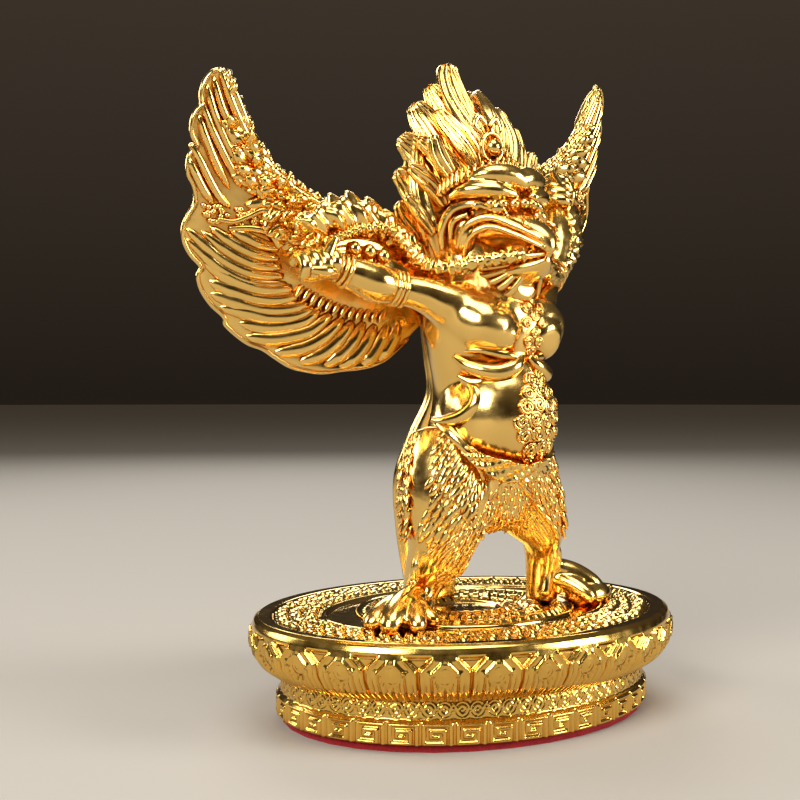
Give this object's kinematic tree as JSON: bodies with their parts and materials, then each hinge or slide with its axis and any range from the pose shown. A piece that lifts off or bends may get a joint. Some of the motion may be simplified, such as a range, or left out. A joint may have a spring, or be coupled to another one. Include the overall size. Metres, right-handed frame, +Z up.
{
  "type": "garuda figure",
  "caption": "Gold plated cast ornament of a standing garuda with spread wings and a serpent in its beak, on an oval lotus base with a felt pad.",
  "frame": {"origin": "the middle of the underside, on the surface the felt pad stands on", "axes": "+Z up, the figure faces -Y, its right side is at -X and its left side at +X"},
  "size_m": [0.0996, 0.0664, 0.1191],
  "materials": {
    "gold_plate": "bright polished gold plating on a zinc alloy casting",
    "red_felt": "matt felt"
  },
  "bodies": {
    "root": {"garuda_figure": "gold_plate", "lotus_base": "gold_plate", "felt_pad": "red_felt"}
  },
  "joints": []
}
